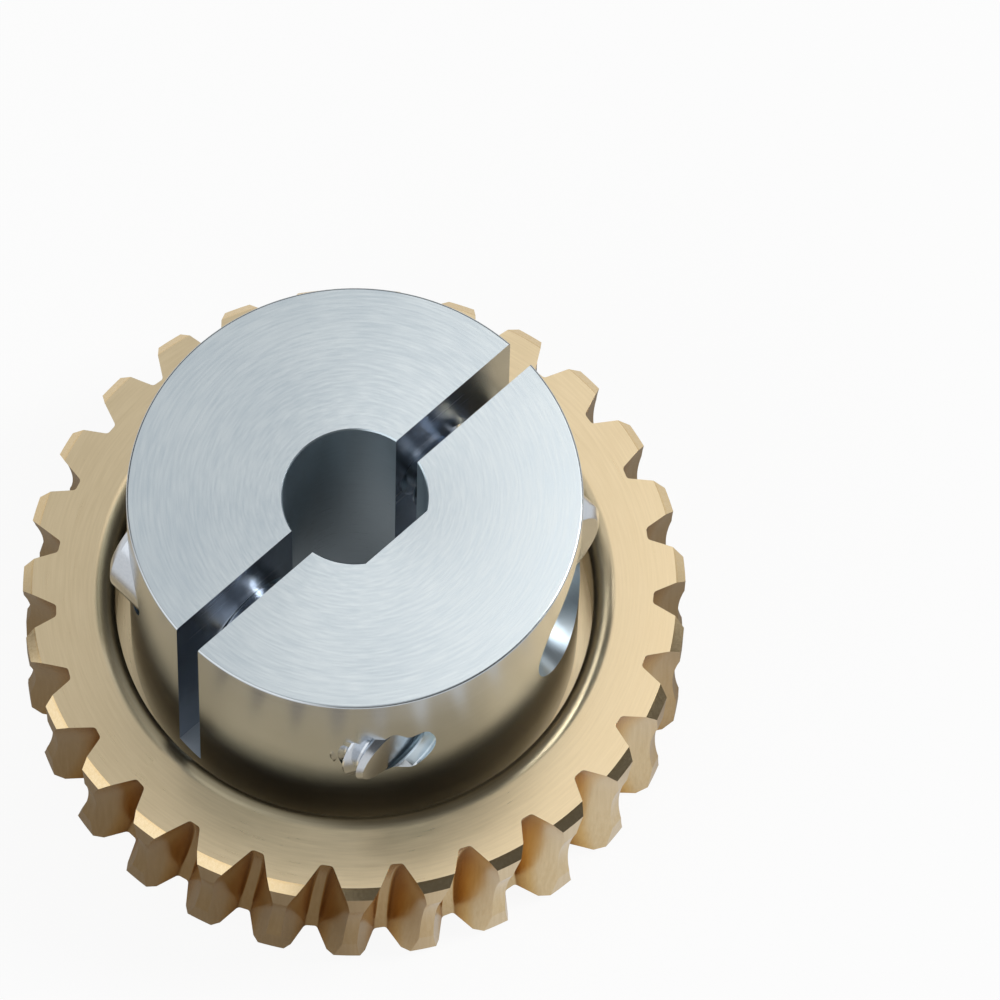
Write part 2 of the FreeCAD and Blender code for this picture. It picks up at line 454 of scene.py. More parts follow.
class NodeSheet:
    """A node tree, written as expressions."""

    def __init__(self, tree: bpy.types.NodeTree) -> None:
        """Start on an emptied tree."""
        self.tree = tree
        self.tree.nodes.clear()

    def node(
        self,
        kind: str,
        settings: dict[str, Any] | None = None,
        inputs: dict[Any, Any] | None = None,
        output: Any = 0,
    ) -> Signal:
        """Add a node.

        Args:
            kind: The node's type.
            settings: Its own settings, set before its sockets; a ramp's stops are a list.
            inputs: Values or signals by socket name or number.
            output: Which output the returned signal reads.

        Returns:
            The chosen output.
        """
        made = self.tree.nodes.new(kind)
        for name, value in (settings or {}).items():
            if name == "stops":
                self.set_stops(made, value)
            else:
                setattr(made, name, value)
        for name, value in (inputs or {}).items():
            if isinstance(value, Signal):
                self.tree.links.new(value.socket, made.inputs[name])
            else:
                made.inputs[name].default_value = value
        return Signal(self, made.outputs[output])

    def node_in(self, kind: str, inputs: dict[str, Signal]) -> None:
        """Add a node that has only inputs, such as an output.

        Args:
            kind: The node's type.
            inputs: Signals by socket name.
        """
        made = self.tree.nodes.new(kind)
        for name, value in inputs.items():
            self.tree.links.new(value.socket, made.inputs[name])

    @staticmethod
    def set_stops(ramp: bpy.types.Node, stops: tuple[tuple[float, Colour], ...]) -> None:
        """Give a colour ramp its stops.

        Args:
            ramp: The ramp's node.
            stops: Pairs of place and colour.
        """
        elements = ramp.color_ramp.elements
        while len(elements) < len(stops):
            elements.new(1.0)
        for element, (place, colour) in zip(elements, stops):
            element.position = place
            element.color = (*colour, 1.0)

    def place(self) -> Signal:
        """Object coordinates."""
        return self.node("ShaderNodeTexCoord", output="Object")

    def parts(self, vector: Signal) -> tuple[Signal, Signal, Signal]:
        """Take a vector apart.

        Args:
            vector: The vector.

        Returns:
            Its three numbers.
        """
        split = self.node("ShaderNodeSeparateXYZ", inputs={0: vector})
        outputs = split.socket.node.outputs
        return tuple(Signal(self, outputs[number]) for number in range(3))

    def vector(self, x: Any, y: Any, z: Any) -> Signal:
        """Vector of three numbers."""
        return self.node("ShaderNodeCombineXYZ", inputs={0: x, 1: y, 2: z})

    def length(self, across: Signal, along: Signal) -> Signal:
        """Distance of a place that lies so far across and so far along."""
        return (across * across + along * along).maths("SQRT")

    def noise(self, vector: Signal, scale: float, detail: float, roughness: float) -> Signal:
        """Noise of about 0 to 1.

        Args:
            vector: Where it is read.
            scale: Waves to one unit of the vector.
            detail: Number of finer layers.
            roughness: Share that each finer layer has of the one before.

        Returns:
            The noise.
        """
        return self.node(
            "ShaderNodeTexNoise",
            inputs={"Vector": vector, "Scale": scale, "Detail": detail, "Roughness": roughness},
        )

    def blend(self, low: Colour, high: Colour, factor: Signal) -> Signal:
        """Colour between two.

        Args:
            low: Colour at factor 0 and below.
            high: Colour at factor 1 and above.
            factor: Where between them.

        Returns:
            The colour.
        """
        return self.node(
            "ShaderNodeMix",
            {"data_type": "RGBA"},
            {"Factor": factor, 6: (*low, 1.0), 7: (*high, 1.0)},
            output=2,
        )

    def tinted(self, colour: Signal, tint: Signal) -> Signal:
        """Product of two colours.

        Args:
            colour: The first colour.
            tint: The second colour, or a number that darkens the first.

        Returns:
            The product.
        """
        return self.node(
            "ShaderNodeMix",
            {"data_type": "RGBA", "blend_type": "MULTIPLY"},
            {"Factor": 1.0, 6: colour, 7: tint},
            output=2,
        )

    def bump(self, height: Signal, strength: float, distance: float) -> Signal:
        """Normal from a height.

        Args:
            height: The height, of about 0 to 1.
            strength: How strongly it turns the normal.
            distance: Height of 1, in metres.

        Returns:
            The normal.
        """
        return self.node(
            "ShaderNodeBump",
            inputs={"Height": height, "Strength": strength, "Distance": distance},
        )

    def light_path(self, *rays: str) -> Signal:
        """1 for rays of any of the named kinds.

        Args:
            rays: Names of the Light Path node's outputs.

        Returns:
            1 or 0.
        """
        kinds = [self.node("ShaderNodeLightPath", output=name) for name in rays]
        seen = kinds[0]
        for kind in kinds[1:]:
            seen = seen.maths("MAXIMUM", kind)
        return seen


class MaterialSheet(NodeSheet):
    """A material's node tree."""

    def __init__(self, name: str) -> None:
        """Start an empty material.

        Args:
            name: The material's name.
        """
        self.material = bpy.data.materials.new(name)
        self.material.use_nodes = True
        super().__init__(self.material.node_tree)

    def metal(self, inputs: dict[str, Any]) -> Signal:
        """Principled shader with its sockets fed."""
        return self.node("ShaderNodeBsdfPrincipled", inputs=inputs)

    def finish(self, surface: Signal) -> bpy.types.Material:
        """Show a shader on the surface, and give back the material."""
        self.node_in("ShaderNodeOutputMaterial", {"Surface": surface})
        return self.material


class ToolMarks(Enum):
    """Which way the cutting tool left its fine lines on a surface."""

    RINGS = "rings round the Z axis on a faced surface"
    TURNS = "lines round the Z axis on an upright wall"
    ALONG = "lines along the Z axis"
    ACROSS = "lines along the X axis"
    PLAIN = "a fine even grain"


@dataclass(frozen=True)
class PaintedShade:
    """Painted shade: a tint that changes with the distance from a circle round the Z axis, in
    metres.

    It runs through its stops from the start distance to the end distance.
    """

    radius: float
    height: float
    start: float
    end: float
    stops: tuple[tuple[float, Colour], ...]

    def tint(self, sheet: NodeSheet) -> Signal:
        """Colour of the painted shade, to multiply a finish by.

        Args:
            sheet: The finish's node tree.

        Returns:
            The colour.
        """
        x, y, z = sheet.parts(sheet.place())
        across = sheet.length(x, y) - self.radius
        up = z - self.height
        away = sheet.length(across, up)
        share = (away - self.start) * (1.0 / (self.end - self.start))
        return sheet.node("ShaderNodeValToRGB", {"stops": self.stops}, {"Fac": share})


@dataclass(frozen=True)
class MetalFinish:
    """A machined metal: its colour, its gloss and the marks that the tool left.

    The pitch and the depth of the marks are in metres. Going round the axis, the marks change
    by so many waves in a radian, on a faced surface and on an upright wall. Straight marks
    are longer than their pitch by the stretch. Clouds are large soft spots, and the lines
    have their share of the tone beside them.
    """

    name: str
    light: Colour
    deep: Colour
    roughness: float
    marks: ToolMarks
    pitch: float = 0.05 * MM
    depth: float = 0.0008 * MM
    strength: float = 0.5
    spread: float = 0.06
    anisotropy: float = 0.0
    ring_waves: float = 5.0
    wall_waves: float = 2.0
    stretch: float = 50.0
    cloud_scale: float = 220.0
    line_share: float = 0.65
    # painted shade multiplied into the colour, if any
    painted_shade: PaintedShade | None = None

    def line_place(self, sheet: NodeSheet) -> Signal:
        """Coordinate that changes fast across the tool marks and slowly along them.

        Args:
            sheet: The finish's node tree.

        Returns:
            The coordinate.
        """
        place = sheet.place()
        x, y, z = sheet.parts(place)
        fast = 1.0 / self.pitch
        slow = fast / self.stretch
        if self.marks is ToolMarks.RINGS:
            turn = y.maths("ARCTAN2", x)
            return sheet.vector(sheet.length(x, y) * fast, turn * self.ring_waves, 0.0)
        if self.marks is ToolMarks.TURNS:
            turn = y.maths("ARCTAN2", x)
            return sheet.vector(z * fast, turn * self.wall_waves, 0.0)
        if self.marks is ToolMarks.ALONG:
            return sheet.vector(x * fast, y * fast, z * slow)
        if self.marks is ToolMarks.ACROSS:
            return sheet.vector(z * fast, y * fast, x * slow)
        return sheet.vector(x * fast, y * fast, z * fast)

    def build(self) -> bpy.types.Material:
        """Material with tool marks in its colour, gloss and bump.

        Returns:
            The material.
        """
        sheet = MaterialSheet(self.name)
        lines = sheet.noise(self.line_place(sheet), scale=1.0, detail=3.0, roughness=0.6)
        clouds = sheet.noise(sheet.place(), scale=self.cloud_scale, detail=4.0, roughness=0.55)
        mixed = lines * self.line_share + clouds * (1.0 - self.line_share)
        tone = mixed.band(0.3, 0.7)
        gloss = (lines - 0.5) * self.spread * 2.0 + (clouds - 0.5) * self.spread + self.roughness
        colour = sheet.blend(self.deep, self.light, tone)
        # painted shade darkens the colour here
        if self.painted_shade:
            colour = sheet.tinted(colour, self.painted_shade.tint(sheet))
        metal = sheet.metal(
            {
                "Base Color": colour,
                "Metallic": 1.0,
                "Roughness": gloss,
                "Anisotropic": self.anisotropy,
                "Normal": sheet.bump(lines, self.strength, self.depth),
            }
        )
        return sheet.finish(metal)


@dataclass(frozen=True)
class Region:
    """Faces of a piece that share one finish, told apart by place and normal."""

    finish: MetalFinish
    holds: Callable[[Vector, Vector], bool]


def dress(piece: bpy.types.Object, regions: list[Region]) -> None:
    """Give each face the first finish whose test it meets.

    Args:
        piece: The piece, in metres.
        regions: Finishes with their tests; the last one takes all that is left.
    """
    piece.data.materials.clear()
    for region in regions:
        piece.data.materials.append(region.finish.build())
    for polygon in piece.data.polygons:
        centre = polygon.center
        normal = polygon.normal
        for number, region in enumerate(regions):
            if region.holds(centre, normal):
                polygon.material_index = number
                break


def reach(place: Vector) -> float:
    """Distance of a place from the Z axis."""
    return math.hypot(place.x, place.y)


# Finishes

# Stops of the painted shade from the recess on the hub's wall, darkest at its foot
FOOT_SHADE = ((0.0, (0.42, 0.44, 0.47)), (1.0, WHITE))
# Stops of the painted shade towards the bottom of each tooth gap
ROOT_SHADE = (
    (0.02, (1.0, 0.98, 0.95)),
    (0.07, (0.50, 0.34, 0.17)),
    (0.22, (0.72, 0.52, 0.27)),
    (0.48, (0.92, 0.78, 0.52)),
    (0.8, WHITE),
)
HUB_FACE = MetalFinish(
    "hub_face", light=(0.78, 0.85, 0.88), deep=(0.65, 0.73, 0.78), roughness=0.24,
    marks=ToolMarks.RINGS, pitch=0.13 * MM, anisotropy=0.5,
)
HUB_FLOOR = MetalFinish(
    "hub_split_floor", light=(0.80, 0.87, 0.93), deep=(0.70, 0.77, 0.84), roughness=0.5,
    marks=ToolMarks.ACROSS,
)
HUB_WALL = MetalFinish(
    "hub_wall", light=(0.66, 0.70, 0.73), deep=(0.56, 0.60, 0.63), roughness=0.22,
    marks=ToolMarks.TURNS, pitch=0.06 * MM,
)
HUB_SPLIT = MetalFinish(
    "hub_split", light=(0.50, 0.55, 0.62), deep=(0.40, 0.45, 0.52), roughness=0.25,
    marks=ToolMarks.ACROSS, pitch=0.08 * MM,
)
HUB_BORE = MetalFinish(
    "hub_bore", light=(0.67, 0.77, 0.83), deep=(0.59, 0.69, 0.75), roughness=0.3,
    marks=ToolMarks.TURNS,
)
SCREW_STEEL = MetalFinish(
    "screw_steel", light=(0.66, 0.69, 0.73), deep=(0.56, 0.60, 0.65), roughness=0.2,
    marks=ToolMarks.PLAIN, pitch=0.1 * MM,
)
RIM_FACE = MetalFinish(
    "rim_face", light=(0.87, 0.71, 0.46), deep=(0.77, 0.62, 0.39), roughness=0.3,
    marks=ToolMarks.RINGS, pitch=0.13 * MM, anisotropy=0.5,
)
RIM_TURNED = MetalFinish(
    "rim_turned", light=(0.82, 0.66, 0.42), deep=(0.72, 0.56, 0.33), roughness=0.36,
    marks=ToolMarks.TURNS, pitch=0.08 * MM,
)
RIM_FLANK = MetalFinish(
    "rim_flank", light=(0.84, 0.67, 0.42), deep=(0.76, 0.58, 0.33), roughness=0.2,
    marks=ToolMarks.ALONG, pitch=0.12 * MM, strength=0.3,
)


# Pieces


@dataclass
class ClampScrew:
    """Sizes of one socket head clamp screw, in millimetres.

    The seat is where the head rests, counted from the middle of the split. A crest and a
    root are each flat for the given share of the pitch.
    """

    offset: float = 5.5
    height: float = 12.4
    radius: float = 2.085
    root_radius: float = 1.6
    pitch: float = 0.79
    length: float = 10.9
    end_bevel: float = 0.4
    head_radius: float = 3.43
    head_height: float = 3.94
    head_bevel: float = 0.4
    seat: float = 2.7
    seat_bevel: float = 0.06
    key_width: float = 3.57
    key_depth: float = 2.0
    crest_flat: float = 0.125
    edge_round: float = 0.06
    edge_angle: float = 30.0
    steps: int = 96

    def place(self) -> Matrix:
        """Move from the screw's own frame, head up, to its place beside the bore."""
        return Matrix.Translation((-self.offset, 0, self.height)) @ Matrix.Rotation(
            -math.pi / 2, 4, "X"
        )


@dataclass
class ClampScrews:
    """The pair of clamp screws, each the other turned half round the bore."""

    screw: ClampScrew = field(default_factory=ClampScrew)
    shade_angle: float = 35.0

    def shank(self) -> bpy.types.Object:
        """Threaded shank with a bevelled end.

        Returns:
            The shank, in millimetres and in the screw's own frame.
        """
        size = self.screw
        end = size.seat - size.length
        shank = thread_rod(
            "shank", size.radius, size.root_radius, size.pitch, end, size.seat, size.crest_flat
        )
        beyond = 0.2
        bevel_tool = lathe(
            "bevel",
            [
                (size.radius - size.end_bevel, end),
                (size.radius - size.end_bevel - beyond, end - beyond),
                (size.radius + beyond, end - beyond),
                (size.radius + beyond, end + size.end_bevel + beyond),
            ],
            size.steps,
        )
        cut(shank, bevel_tool)
        return shank

    def head(self) -> bpy.types.Object:
        """Turned head with its hexagonal socket.

        Returns:
            The head, in millimetres and in the screw's own frame.
        """
        size = self.screw
        top = size.seat + size.head_height
        head = lathe(
            "head",
            [
                (0, size.seat),
                (size.head_radius - size.seat_bevel, size.seat),
                (size.head_radius, size.seat + size.seat_bevel),
                (size.head_radius, top - size.head_bevel),
                (size.head_radius - size.head_bevel, top),
                (0, top),
            ],
            size.steps,
            closed=False,
        )
        clear_selection()
        bpy.ops.mesh.primitive_cylinder_add(
            vertices=6,
            radius=size.key_width / math.sqrt(3),
            depth=2 * size.key_depth,
            location=(0, 0, top),
        )
        key = bpy.context.object
        settle(key)
        cut(head, key)
        break_edges(head, size.edge_round, size.edge_angle)
        return head

    def build(self) -> bpy.types.Object:
        """Both screws as one piece in metres, with their finish.

        Returns:
            The finished piece.
        """
        shank = self.shank()
        first = join([self.head(), shank], "screw")
        first.data.transform(self.screw.place())
        second = twin(first, turned_by(180))
        piece = join([first, second], "clamp_screw_pair")
        to_metres(piece)
        dress(piece, [Region(SCREW_STEEL, lambda centre, normal: True)])
        shade(piece, self.shade_angle)
        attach(piece, BODY)
        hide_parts("clamp_screws")
        return piece


@dataclass
class ClampHub:
    """The split steel hub: its sizes in millimetres.

    Heights are counted from the back face. The foot is the height at which painted shade from
    the recess is darkest on the wall; the painted shade fades between two distances from there.
    The overrun is how far a tool reaches past the piece. Angles are in degrees.
    """

    radius: float = 10.0
    height: float = 18.0
    edge_break: float = 0.12
    bore_radius: float = 3.175
    bore_edge_break: float = 0.06
    flat_offset: float = 2.66
    split_width: float = 1.36
    split_depth: float = 12.6
    head_clearance: float = 0.17
    shank_clearance: float = 0.15
    thread_clearance: float = 0.02
    overrun: float = 1.0
    land_lap: float = 0.2
    plug_lap: float = 0.01
    steps: int = 288
    hole_steps: int = 128
    edge_points: int = 5
    edge_round: float = 0.05
    edge_angle: float = 40.0
    shade_angle: float = 30.0
    foot_height: float = 7.2
    foot_start: float = 0.6
    foot_end: float = 4.0
    screw: ClampScrew = field(default_factory=ClampScrew)

    @property
    def past(self) -> float:
        """Distance from the axis that a tool reaches to, past the wall."""
        return self.radius + self.overrun

    def blank(self) -> bpy.types.Object:
        """Turned hub with its bore and rounded rims.

        Returns:
            The blank, in millimetres.
        """
        inner = self.bore_radius
        rim = self.bore_radius + self.bore_edge_break
        side = self.radius - self.edge_break
        points = [(rim, 0), (side, 0), (self.radius, self.edge_break)]
        for number in range(self.edge_points):
            angle = math.pi / 2 * number / (self.edge_points - 1)
            points.append(
                (
                    side + self.edge_break * math.cos(angle),
                    self.height - self.edge_break * (1 - math.sin(angle)),
                )
            )
        points += [
            (rim, self.height),
            (inner, self.height - self.bore_edge_break),
            (inner, self.bore_edge_break),
        ]
        return lathe("hub", points, self.steps)

    def add_flat(self, hub: bpy.types.Object) -> None:
        """Fill the bore below its flat.

        Args:
            hub: The hub, in millimetres.
        """
        across = self.bore_radius + self.bore_edge_break
        land = add_block(
            "land",
            (-across, -across - self.land_lap, 0.0),
            (across, -self.flat_offset, self.height),
        )
        clear_selection()
        bpy.ops.mesh.primitive_cylinder_add(
            vertices=self.steps,
            radius=across + self.plug_lap,
            depth=self.height,
            location=(0, 0, self.height / 2),
        )
        plug = bpy.context.object
        settle(plug)
        combine(land, plug, "INTERSECT")
        combine(hub, land, "UNION")

    def hole_tools(self) -> list[bpy.types.Object]:
        """Tools for one stepped hole, in its place.

        Returns:
            The tool of the tapped part, and the one of the clear and counterbored parts.
        """
        size = self.screw
        inside_split = self.split_width / 4
        tapped = thread_rod(
            "tap",
            size.radius + self.thread_clearance,
            size.root_radius + self.thread_clearance,
            size.pitch,
            -self.past,
            -inside_split,
            size.crest_flat,
        )
        clear = size.radius + self.shank_clearance
        counterbore = size.head_radius + self.head_clearance
        stepped = lathe(
            "drill",
            [
                (0, 0),
                (clear, 0),
                (clear, size.seat),
                (counterbore, size.seat),
                (counterbore, self.past),
                (0, self.past),
            ],
            self.hole_steps,
            closed=False,
        )
        for tool in (tapped, stepped):
            tool.data.transform(size.place())
        return [tapped, stepped]

    def build(self) -> bpy.types.Object:
        """The hub as one piece in metres, with its finishes.

        Returns:
            The finished piece.
        """
        hub = self.blank()
        self.add_flat(hub)
        split = add_block(
            "split",
            (-self.past, -self.split_width / 2, self.height - self.split_depth),
            (self.past, self.split_width / 2, self.height + self.overrun),
        )
        cut(hub, split)
        for tool in self.hole_tools():
            other = twin(tool, turned_by(180))
            cut(hub, tool)
            cut(hub, other)
        hub.name = "split_clamp_hub"
        break_edges(hub, self.edge_round, self.edge_angle)
        to_metres(hub)
        dress(hub, self.regions())
        shade(hub, self.shade_angle)
        turn_normals(hub, self.radius * MM, 1)
        turn_normals(hub, self.bore_radius * MM, -1)
        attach(hub, BODY)
        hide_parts("clamp_hub")
        return hub

    def wall_finish(self) -> MetalFinish:
        """Finish of the outer wall, with painted shade from the recess, darkest towards its foot.

        Returns:
            The finish with its painted shade.
        """
        # painted shade from the recess, darkest round the wall's foot
        foot = PaintedShade(
            radius=self.radius * MM,
            height=self.foot_height * MM,
            start=self.foot_start * MM,
            end=self.foot_end * MM,
            stops=FOOT_SHADE,
        )
        return replace(HUB_WALL, painted_shade=foot)

    def regions(self) -> list[Region]:
        """Finishes of the hub's faces.

        Returns:
            The regions, the ones that count first before the others.
        """
        edge = self.edge_break * MM
        top = self.height * MM
        wall = self.radius * MM - edge
        bore = (self.bore_radius + self.bore_edge_break) * MM
        slit = self.split_width * MM
        floor = (self.height - self.split_depth) * MM
        play = FLOOR_PLAY * MM
        return [
            Region(
                HUB_FLOOR,
                lambda centre, normal: normal.z > FACING and abs(centre.z - floor) < play,
            ),
            Region(HUB_FACE, lambda centre, normal: normal.z > FACING and centre.z > top - edge),
            Region(HUB_FACE, lambda centre, normal: normal.z < -FACING and centre.z < edge),
            Region(self.wall_finish(), lambda centre, normal: reach(centre) > wall),
            Region(HUB_BORE, lambda centre, normal: reach(centre) < bore),
            Region(
                HUB_SPLIT,
                lambda centre, normal: abs(normal.y) > FACING and abs(centre.y) < slit,
            ),
            Region(HUB_BORE, lambda centre, normal: True),
        ]


@dataclass
class WheelRim:
    """The bronze rim with its throated, slanted teeth: its sizes in millimetres.

    Angles are in degrees. The hob radius is counted from the hob's axis to the bottom of a
    gap, and the root shade is how far up from there the flanks carry painted shade. A face
    whose normal lies along Z by more than the faced share has the finish of the two flat sides.
    """

    bore_radius: float = 10.0
    outside_radius: float = 14.76
    width: float = 7.6
    chamfer: float = 0.43
    recess_gap: float = 0.65
    recess_depth: float = 4.0
    lip_radius: float = 1.0
    throat_width: float = 3.92
    gap_depth: float = 2.25
    tooth_count: int = 27
    first_gap_angle: float = 6.78
    lead_angle: float = 5.5
    hob_radius: float = 9.69
    flank_angle: float = 30.0
    gap_flat: float = 0.3
    root_fillet: float = 0.2
    root_shade: float = 1.39
    overrun: float = 1.0
    steps_per_tooth: int = 12
    throat_points: int = 24
    lip_points: int = 16
    fillet_points: int = 9
    hob_steps: int = 40
    hob_sweep: float = 70.0
    edge_round: float = 0.03
    edge_angle: float = 25.0
    shade_angle: float = 12.0
    faced: float = 0.95

    @property
    def hob_axis(self) -> float:
        """Distance between the wheel's axis and the hob's."""
        return self.outside_radius - self.gap_depth + self.hob_radius

    def throat(self) -> Outline:
        """Hollow throat, about the hob's axis, between the two plain lands.

        Returns:
            Its points from the back to the front.
        """
        half = self.throat_width / 2
        drop = self.hob_axis - self.outside_radius
        radius = math.hypot(half, drop)
        sweep = math.atan2(half, drop)
        points = []
        for number in range(self.throat_points + 1):
            angle = sweep * (2 * number / self.throat_points - 1)
            points.append(
                (
                    self.hob_axis - radius * math.cos(angle),
                    self.width / 2 + radius * math.sin(angle),
                )
            )
        return points

    def lip(self) -> Outline:
        """Rounded lip of the recess.

        Returns:
            Its points from the front face down to the recess's wall.
        """
        recess = self.bore_radius + self.recess_gap
        across = recess + self.lip_radius
        up = self.width - self.lip_radius
        points = []
        for number in range(self.lip_points + 1):
            angle = math.pi / 2 * (1 + number / self.lip_points)
            points.append(
                (across + self.lip_radius * math.cos(angle), up + self.lip_radius * math.sin(angle))
            )
        return points

    def blank(self) -> bpy.types.Object:
        """Turned ring before its teeth are cut.

        Returns:
            The blank, in millimetres.
        """
        shoulder = self.outside_radius - self.chamfer
        recess = self.bore_radius + self.recess_gap
        floor = self.width - self.recess_depth
        points = [(self.bore_radius, 0), (shoulder, 0), (self.outside_radius, self.chamfer)]
        points += self.throat()
        points += [(self.outside_radius, self.width - self.chamfer), (shoulder, self.width)]
        points += self.lip()
        points += [(recess, floor), (self.bore_radius, floor)]
        return lathe("rim", points, self.tooth_count * self.steps_per_tooth)

    def gap_section(self) -> Outline:
        """Half section of the hob's tooth.

        Returns:
            Pairs of distance from the hob's axis and half width.
        """
        slope = math.tan(math.radians(self.flank_angle))
        points = []
        turn = math.radians(90 - self.flank_angle)
        for number in range(self.fillet_points):
            angle = turn * number / (self.fillet_points - 1)
            points.append(
                (
                    self.hob_radius - self.root_fillet * (1 - math.cos(angle)),
                    self.gap_flat / 2 + self.root_fillet * math.sin(angle),
                )
            )
        last = points[-1]
        back = self.hob_radius - self.gap_depth - self.chamfer - self.overrun
        points.append((back, last[1] + (last[0] - back) * slope))
        return points

    def hob_tool(self) -> bpy.types.Object:
        """The stretch of the hob's turn that cuts one tooth gap, at angle zero.

        Returns:
            The tool, in millimetres.
        """
        half = self.gap_section()
        outline = half + [(distance, -width) for distance, width in reversed(half)]
        tool = new_outline("hob", outline, True)
        edit_all(tool)
        bpy.ops.mesh.edge_face_add()
        bpy.ops.mesh.spin(
            steps=self.hob_steps,
            angle=math.radians(self.hob_sweep),
            center=(0, 0, 0),
            axis=(0, 0, 1),
        )
        bpy.ops.mesh.select_all(action="SELECT")
        bpy.ops.mesh.remove_doubles(threshold=FINE_MERGE)
        bpy.ops.mesh.normals_make_consistent(inside=False)
        leave_edit()
        middle = sum((vertex.co for vertex in tool.data.vertices), Vector())
        tool.data.transform(Matrix.Rotation(-math.atan2(middle.y, middle.x), 4, "Z"))
        upright = Matrix.Rotation(math.pi / 2, 4, "X")
        facing = turned_by(180)
        slant = Matrix.Rotation(-math.radians(self.lead_angle), 4, "X")
        tool.data.transform(
            Matrix.Translation((self.hob_axis, 0, self.width / 2)) @ slant @ facing @ upright
        )
        return tool

    def build(self) -> bpy.types.Object:
        """The rim as one piece in metres, with its finishes.

        Returns:
            The finished piece.
        """
        rim = self.blank()
        tool = self.hob_tool()
        angles = [
            self.first_gap_angle + 360 * number / self.tooth_count
            for number in range(self.tooth_count)
        ]
        tools = [twin(tool, turned_by(angle)) for angle in angles]
        bpy.data.objects.remove(tool)
        cut(rim, join(tools, "hobs"))
        rim.name = "bronze_wheel_rim"
        break_edges(rim, self.edge_round, self.edge_angle)
        to_metres(rim)
        dress(rim, self.regions())
        shade(rim, self.shade_angle)
        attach(rim, BODY)
        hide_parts("worm_wheel_rim")
        return rim

    def flank_finish(self) -> MetalFinish:
        """Finish of the teeth, with painted shade towards the bottom of each gap.

        Returns:
            The finish with its painted shade.
        """
        # painted shade towards the bottom of each tooth gap
        root = PaintedShade(
            radius=self.hob_axis * MM,
            height=self.width / 2 * MM,
            start=self.hob_radius * MM,
            end=(self.hob_radius - self.root_shade) * MM,
            stops=ROOT_SHADE,
        )
        return replace(RIM_FLANK, painted_shade=root)

    def regions(self) -> list[Region]:
        """Finishes of the rim's faces.

        Returns:
            The regions, the ones that count first before the others.
        """
        recess = (self.bore_radius + self.recess_gap + self.lip_radius) * MM
        return [
            Region(RIM_FACE, lambda centre, normal: abs(normal.z) > self.faced),
            Region(RIM_TURNED, lambda centre, normal: reach(centre) < recess),
            Region(self.flank_finish(), lambda centre, normal: True),
        ]


@dataclass(frozen=True)
class Screen:
    """A soft pale patch of the surroundings, by its direction in degrees.

    It has its full strength up to the inner angle from its middle, and none past the outer.
    """

    azimuth: float
    elevation: float
    inner: float
    outer: float
    strength: float


@dataclass(frozen=True)
class Lamp:
    """A square area lamp.

    Its direction is in degrees, its distance and size in metres, and its power in watts.
    """

    name: str
    azimuth: float
    elevation: float
    away: float
    size: float
    power: float
    colour: Colour = WHITE


@dataclass
class PaintedFloorLight:
    """Painted light and shade that the floor shows to reflections, in metres and by strength.

    Close round the wheel the floor is dim and warm, a painted shadow. It is pale from far_inner
    outwards, with a painted pool of light on a card at the lower right and a faint painted glow
    under the bore on the left.
    """

    card_right: float = 11.0 * MM
    card_front: float = 13.0 * MM
    card_inner: float = 4.0 * MM
    card_outer: float = 14.0 * MM
    card_strength: float = 0.52
    far_inner: float = 17.5 * MM
    far_outer: float = 27.0 * MM
    far_strength: float = 0.7
    near_inner: float = 4.0 * MM
    near_outer: float = 12.0 * MM
    near_strength: float = 0.12
    near_colour: Colour = (1.0, 0.8, 0.58)
    bore_half: float = 2.5 * MM
    bore_strength: float = 0.04
    bore_glow: float = 0.2

    def build(self, sheet: NodeSheet, turn: Matrix) -> Signal:
        """Shader of the painted floor light.

        Args:
            sheet: The floor's node tree.
            turn: Turn from the picture's right and depth to the frame's X and Y.

        Returns:
            The shader.
        """
        x, y, _ = sheet.parts(sheet.place())
        away = sheet.length(x, y)
        far = away.band(self.far_inner, self.far_outer)
        # painted shadow of the wheel, close round it
        near = away.band(self.near_inner, self.near_outer)
        # painted pool of light on a card at the lower right
        middle = turn @ Vector((self.card_right, -self.card_front, 0))
        off_card = sheet.length(x - middle.x, y - middle.y)
        card = 1.0 - off_card.band(self.card_inner, self.card_outer)
        right = turn @ Vector((1, 0, 0))
        # faint painted glow under the bore, on its left
        left_share = (x * right.x + y * right.y).band(self.bore_half, -self.bore_half)
        beneath = (1.0 - near) * left_share * self.bore_glow + self.bore_strength
        pale = (card * self.card_strength).maths("MAXIMUM", far * self.far_strength)
        level = pale + near * self.near_strength + beneath
        tone = sheet.blend(WHITE, self.near_colour, near - card.maths("MAXIMUM", far))
        return sheet.node(
            "ShaderNodeEmission", inputs={"Color": sheet.tinted(tone, level), "Strength": 1.0}
        )


